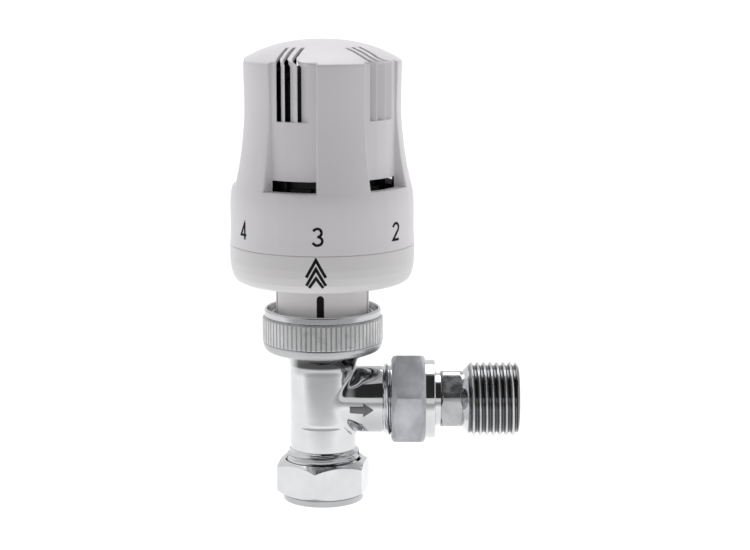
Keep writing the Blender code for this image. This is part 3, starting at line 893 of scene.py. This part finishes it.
def body_skin():
    """Even mesh of the casting between its two threads and its head: rough cones, moved to the skin."""
    bm = bmesh.new()
    upright, along_x = Matrix.Identity(3), Matrix.Rotation(math.pi / 2, 3, "Y")
    for low_r, high_r, depth, middle, turn in (
            (TUBE_R, TUBE_R, 34, (0, 0, 29), upright),
            (TUBE_R, TUBE_R + FLARE_REACH, 8, (0, 0, 42), upright),
            (BRANCH_R, BRANCH_R, 20, (10, 0, BRANCH_Z), along_x)):
        cone = bmesh.ops.create_cone(bm, cap_ends=True, segments=64, radius1=low_r, radius2=high_r,
                                     depth=depth)
        bmesh.ops.rotate(bm, verts=cone["verts"], cent=(0, 0, 0), matrix=turn)
        bmesh.ops.translate(bm, verts=cone["verts"], vec=middle)
    rough = bpy.data.meshes.new("body_rough")
    bm.to_mesh(rough)
    bm.free()
    obj = bpy.data.objects.new("body_rough", rough)
    bpy.context.scene.collection.objects.link(obj)
    remesh = obj.modifiers.new("Even mesh", "REMESH")
    remesh.mode = "VOXEL"
    remesh.voxel_size = SKIN_MESH
    even = obj.evaluated_get(bpy.context.evaluated_depsgraph_get()).to_mesh()
    bm = bmesh.new()
    bm.from_mesh(even)
    bpy.data.objects.remove(obj)
    bpy.data.meshes.remove(rough)
    move_to_skin(bm)
    bmesh.ops.smooth_vert(bm, verts=bm.verts, factor=0.5, use_axis_x=True, use_axis_y=True, use_axis_z=True)
    move_to_skin(bm)
    cuts = (((0, 0, SKIN_LOW), (0, 0, -1)), ((0, 0, SKIN_HIGH), (0, 0, 1)), ((SKIN_END, 0, 0), (1, 0, 0)))
    for cut, normal in cuts:
        bmesh.ops.bisect_plane(bm, geom=bm.verts[:] + bm.edges[:] + bm.faces[:], plane_co=cut,
                               plane_no=normal, clear_outer=True)
    return bm


def move_to_skin(bm):
    """Moves all verts onto the casting's skin."""
    points = np.array([vert.co[:] for vert in bm.verts])
    for vert, point in zip(bm.verts, to_skin(points)):
        vert.co = point


def make_valve_body():
    """Cast skin, its threaded spigot and branch end, and the head's seat, as four pieces."""
    bm = body_skin()
    walls = bmesh.ops.extrude_edge_only(bm, edges=[edge for edge in bm.edges if edge.is_boundary])
    moved = [item for item in walls["geom"] if isinstance(item, bmesh.types.BMVert)]
    for vert in moved:
        on_end = abs(vert.co.x - SKIN_END) < 0.05
        centre = Vector((vert.co.x, 0, BRANCH_Z)) if on_end else Vector((0, 0, vert.co.z))
        vert.co = centre + (vert.co - centre) * CAP_SHARE
    for loop in split_loops([edge for edge in bm.edges if edge.is_boundary]):
        bm.faces.new(loop)
    skin = make_object("valve_body_cast", bm, CHROME_CAST, sharp_degrees=50)
    spigot = revolve("valve_spigot_thread", spigot_section, spaced(96), CHROME_TURNED, sharp_degrees=50)
    branch = on_branch(revolve("valve_branch_thread", branch_section, spaced(96), CHROME_TURNED,
                               sharp_degrees=50))
    head = lathe("valve_head_threaded", [
        (13.5, 42.7), (13.95, 43.4), (13.95, BODY_HIGH - 0.6), (13.4, BODY_HIGH), (10.9, BODY_HIGH),
        (10.9, 43.4), (10.3, 42.7)], CHROME_TURNED, 0.2)
    for piece in (skin, spigot, branch, head):
        place(piece, "root", "cast_chrome", "valve_body")


def split_loops(edges):
    """Orders boundary edges into closed loops of verts."""
    left = dict.fromkeys(edges)
    loops = []
    while left:
        first, here = left.popitem()[0].verts
        loop = [first]
        while here is not first:
            loop.append(here)
            step = next(edge for edge in here.link_edges if edge in left)
            del left[step]
            here = step.other_vert(here)
        loops.append(loop)
    return loops


def spigot_section(angle):
    """Threaded end of the tube, as (r, z) points."""
    side = thread_outline(angle, BODY_LOW + 0.1, 14.9, BODY_CREST_R, BODY_THREAD_DEPTH, 0.9, 1.0)
    return [(7.8, BODY_LOW), (9.0, BODY_LOW), *side, (9.05, 15.0), (9.05, 15.45), (7.8, 15.45)]


def branch_section(angle):
    """Threaded end of the branch, as (r, place along the branch) points."""
    side = thread_outline(angle, SKIN_END + 0.25, BRANCH_END - 0.1, BODY_CREST_R, BODY_THREAD_DEPTH, 1.0, 0.9)
    return [(7.0, SKIN_END - 0.1), (9.1, SKIN_END - 0.1), (9.1, SKIN_END + 0.2), *side,
            (9.0, BRANCH_END), (7.0, BRANCH_END)]


ARROW_Z = 27.5
ARROW_LIFT = 0.45
ARROW_ROOT = 0.3
ARROW_DRAFT = 0.12
# Half width of the arrow at places along the branch: its shaft, its barbs and its point.
ARROW_SHAPE = ((7.6, 1.0), (8.5, 1.02), (9.5, 1.05), (10.5, 1.08), (11.3, 1.1),
               (11.32, 2.05), (12.3, 1.38), (13.3, 0.7), (14.1, 0.12))


def grid_border(grid):
    """Verts round the edge of an open grid, in order."""
    return ([column[0] for column in grid] + grid[-1][1:-1]
            + [column[-1] for column in reversed(grid)] + grid[0][-2:0:-1])


def make_flow_arrow():
    """Raised arrow cast on the front of the branch, showing the direction of flow."""
    bm = bmesh.new()
    grids = []
    for lift, draft in ((ARROW_LIFT, ARROW_DRAFT), (-ARROW_ROOT, 0.0)):
        columns = []
        for x, half in ARROW_SHAPE:
            radius = branch_radius(x) + lift
            column = []
            for side in np.linspace(-1, 1, 7):
                z = ARROW_Z + half * side
                column.append((x, -math.sqrt(radius ** 2 - (z - BRANCH_Z) ** 2), z - draft * side))
            columns.append(column)
        grids.append(add_grid(bm, columns, False, False))
    upper, lower = (grid_border(grid) for grid in grids)
    join_rings(bm, upper, lower)
    # The arrow's dark chrome is painted shade.
    arrow = make_object("flow_arrow", bm, ARROW_SHADE_CHROME, sharp_degrees=60)
    place(arrow, "root", "cast_chrome")


# -------- nuts and tail

def make_compression_nut():
    """Hexagon nut with a turned collar below, hollow for the olive and the spigot."""
    top = NUT_HIGH
    reach = hexagon(NUT_APOTHEM, NUT_CORNER, math.radians(21.7), 14)

    def section(angle):
        h = reach[angle]
        drop = (h - 11.15) * CHAMFER_SLOPE
        rise = max(h - 12.1, 0) * CHAMFER_SLOPE
        return [(10.45, top - 0.5), (10.9, top - 0.04), (11.15, top), (h - 0.12, top - drop + 0.05),
                (h, top - drop - 0.1), (h, 2.45 + rise), (h - 0.12, 2.27 + rise), (11.75, 2.2), (11.2, 2.2),
                (11.05, 2.1), (11.05, 1.95), (11.3, 1.75), (11.3, 0.5), (11.2, 0.25), (10.95, 0.08),
                (10.7, 0.0), (7.9, 0.0), (7.8, 0.1), (7.8, 1.2), (10.45, 3.0)]

    nut = revolve("compression_nut_skin", section, list(reach), CHROME_HEX, sharp_degrees=24)
    repaint(nut, CHROME_COLLAR, lambda centre: centre.z < 2.15)
    place(nut, "pipe_nut", "chrome", "compression_nut")


def make_union_nut():
    """Hexagon nut with a turned collar on the tail's side; its heights run along the branch."""
    low, high = UNION_START, 28.6
    reach = hexagon(NUT_APOTHEM, NUT_CORNER, math.radians(16.5), 14)

    def section(angle):
        h = reach[angle]
        near = low + (h - 11.15) * CHAMFER_SLOPE
        far = high - (h - 11.3) * CHAMFER_SLOPE
        return [(10.45, low + 0.5), (10.9, low + 0.04), (11.15, low), (h - 0.12, near - 0.05),
                (h, near + 0.1), (h, far - 0.1), (h - 0.12, far + 0.05), (11.3, high), (11.1, high),
                (10.95, high + 0.1), (10.95, UNION_END - 0.35), (10.8, UNION_END - 0.1),
                (10.55, UNION_END), (8.1, UNION_END), (8.0, UNION_END - 0.1), (8.0, 28.2), (10.45, 28.2)]

    nut = on_branch(revolve("union_nut_skin", section, list(reach), CHROME_UNION, sharp_degrees=24))
    repaint(nut, CHROME_TURNED, lambda centre: centre.x > high + 0.02)
    place(nut, "tail_nut", "chrome", "union_nut")


def make_tail():
    """Radiator tail: nose, flange and neck, hexagon with turned corners, cone and thread."""
    neck, hex_low, hex_high, thread_low = 7.35, 32.9, 38.9, 40.6
    reach = hexagon(7.7, 0.3, math.radians(16), 10)
    turned_corner = 8.45

    def section(angle):
        h = min(reach[angle], turned_corner)
        ease = max(h - 7.85, 0) * 0.9
        side = thread_outline(angle, thread_low, TAIL_END - 0.12, G_HALF_CREST_R, G_HALF_DEPTH, 1.1, 1.1)
        return [(5.0, TAIL_START + 0.1), (5.1, TAIL_START), (6.2, TAIL_START), (7.3, TAIL_START + 1.0),
                (7.3, 27.6), (neck, 27.9), (neck, hex_low - 0.02), (7.62, hex_low),
                (h - 0.06, hex_low + 0.05 + ease), (h, hex_low + 0.2 + ease),
                (h, hex_high - 0.2 - ease), (h - 0.06, hex_high - 0.05 - ease),
                (7.6, hex_high), (7.75, hex_high + 0.05), (9.25, 40.35), (9.4, 40.55), *side,
                (9.1, TAIL_END), (5.25, TAIL_END), (5.0, TAIL_END - 0.25)]

    tail = on_branch(revolve("radiator_tail_skin", section, list(reach), CHROME_TURNED, sharp_degrees=40))
    repaint(tail, CHROME_DULL, lambda centre: hex_low < centre.x < hex_high)
    repaint(tail, CHROME_THREAD, lambda centre: centre.x > thread_low - 0.1)
    place(tail, "tail", "chrome", "radiator_tail")


def make_return_spring():
    """Return spring under the spindle's clip, at the length it has with the valve shut."""
    low, high = 40.7, 44.9
    coil_r, wire_r, turns = 3.9, 0.4, 4.5
    steps, sides = 108, 10
    points = []
    for k in range(steps + 1):
        angle, height = math.tau * turns * k / steps, low + (high - low) * k / steps
        points.append([(*polar(coil_r + wire_r * math.cos(lean), angle), height + wire_r * math.sin(lean))
                       for lean in spaced(sides)])
    bm = bmesh.new()
    verts = add_grid(bm, points, True, False)
    bm.faces.new(verts[0])
    bm.faces.new(list(reversed(verts[-1])))
    spring = make_object("return_spring_coil", bm, STEEL, sharp_degrees=60)
    place(spring, "root", "steel", "return_spring")


# -------- looks of the inner pieces

INNER_LOOKS = (
    (BLACK_PLASTIC, ("sensor_cage", "setting_sleeve", "spring_cap")),
    (ALUMINIUM, ("sensor_capsule",)),
    (STEEL, ("override_spring", "push_pin", "spindle", "spindle_clip", "ring_clip")),
    (BRASS, ("bonnet_insert", "gland_nut", "disc_holder", "washer_nut", "olive")),
    (RUBBER, ("bonnet_o_ring", "gland_o_ring", "seat_washer", "tail_o_ring")),
)


def dress_inner_pieces():
    """The CAD nodes that keep their own shape get the finish of what they are made of."""
    for mat, names in INNER_LOOKS:
        for name in names:
            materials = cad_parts[name].data.materials
            materials.clear()
            materials.append(mat)


# -------- studio

FLOOR_Z = -9.5
FLOOR_R = 4000
# Own light of the floor by its distance from the valve, in front of it; distances are negative.
FLOOR_GLOW = ((-700, 0.3), (-370, 0.26), (-310, 0.28), (-220, 0.36), (-165, 0.46), (-95, 0.8), (-50, 1.0),
              (-15, 0.95))
# Places in front of the valve between which the fall-off dies away.
GLOW_FADE = (-150, -4)
# Share that distance to the side counts for.
GLOW_STRETCH = 0.7


def make_floor():
    """White sweep under the valve: mostly its own light, which falls off towards the front."""
    mat, shader = new_material("white_sweep", 0.0, 0.9)
    shader.inputs["Base Color"].default_value = (0.14, 0.14, 0.14, 1)
    shader.inputs["Emission Strength"].default_value = 1.0
    x, y, _ = coordinates(mat)
    away = reckon(mat, "MULTIPLY", length_of(mat, reckon(mat, "MULTIPLY", x, GLOW_STRETCH), y), -1.0)
    white = share_between(mat, y, GLOW_FADE[0] * MM, GLOW_FADE[1] * MM, "SMOOTHSTEP")
    away = reckon(mat, "MULTIPLY", away, reckon(mat, "SUBTRACT", 1.0, white))
    near, far = FLOOR_GLOW[-1][0], FLOOR_GLOW[0][0]
    stops = [((distance - far) / (near - far), glow) for distance, glow in FLOOR_GLOW]
    glow = ramp(mat, share_between(mat, away, far * MM, near * MM), stops)
    mat.node_tree.links.new(glow, shader.inputs["Emission Color"])
    bm = bmesh.new()
    bmesh.ops.create_circle(bm, cap_ends=True, segments=64, radius=FLOOR_R)
    bmesh.ops.translate(bm, verts=bm.verts, vec=(0, 0, FLOOR_Z))
    floor = make_object("studio_floor", bm, mat)


# Light of the surroundings by direction, and the parts of a direction between which each sets in.
HORIZON_LIGHT = 1.0
FRONT_LIGHT = 0.035
SIDE_LIGHT = 0.8
BACK_LIGHT = 1.05
OVERHEAD_LIGHT = 6.2
BEHIND = (-0.12, 0.12)
ASIDE = (0.35, 0.7)
ABOVE_HORIZON = (0.24, 0.3)
OVERHEAD = (0.93, 0.965)
OVERHEAD_LEAN = math.radians(24)


def light_world():
    """Surroundings by direction: white behind, dark in front, and a bright panel overhead."""
    world = bpy.context.scene.world or bpy.data.worlds.new("Studio")
    bpy.context.scene.world = world
    world.use_nodes = True
    world.node_tree.nodes.clear()

    def sets_in(value, limits):
        return share_between(world, value, *limits, "SMOOTHSTEP")

    def blend(low, high, share):
        kept = reckon(world, "MULTIPLY", low, reckon(world, "SUBTRACT", 1.0, share))
        return reckon(world, "ADD", kept, reckon(world, "MULTIPLY", high, share))

    x, y, z = coordinates(world, "Generated")
    towards_panel = reckon(world, "ADD", reckon(world, "MULTIPLY", y, math.sin(OVERHEAD_LEAN)),
                           reckon(world, "MULTIPLY", z, math.cos(OVERHEAD_LEAN)))
    overhead = sets_in(towards_panel, OVERHEAD)
    front = blend(FRONT_LIGHT, SIDE_LIGHT, sets_in(reckon(world, "ABSOLUTE", x), ASIDE))
    front = blend(HORIZON_LIGHT, front, sets_in(z, ABOVE_HORIZON))
    front = blend(front, OVERHEAD_LIGHT, overhead)
    back = blend(BACK_LIGHT, OVERHEAD_LIGHT, overhead)
    light = add_node(world, "Background", {"Strength": blend(front, back, sets_in(y, BEHIND))})
    add_node(world, "OutputWorld", {"Surface": light.outputs["Background"]})


CAMERA_TARGET = Vector((14.6, 0, 63.9))
CAMERA_AWAY = 556
CAMERA_PITCH = math.radians(10)


def set_camera():
    """Camera in front of the valve, looking down on it a little."""
    data = bpy.data.cameras.new("Camera")
    data.lens = 96
    data.sensor_width = 36
    data.clip_start = 0.01
    camera = bpy.data.objects.new("Camera", data)
    bpy.context.scene.collection.objects.link(camera)
    away = CAMERA_AWAY * Vector((0, -math.cos(CAMERA_PITCH), math.sin(CAMERA_PITCH)))
    camera.location = (CAMERA_TARGET + away) * MM
    camera.rotation_euler = (-away).to_track_quat("-Z", "Y").to_euler()
    bpy.context.scene.camera = camera


for make in (make_dial, make_base_ring, make_neck, make_union_ring, make_numerals, make_chevrons,
             make_index_line, make_valve_body, make_flow_arrow, make_compression_nut, make_union_nut,
             make_tail, make_return_spring, dress_inner_pieces, make_floor, light_world, set_camera):
    make()
scene = bpy.context.scene
scene.view_settings.view_transform = "Standard"
scene.view_settings.look = "None"
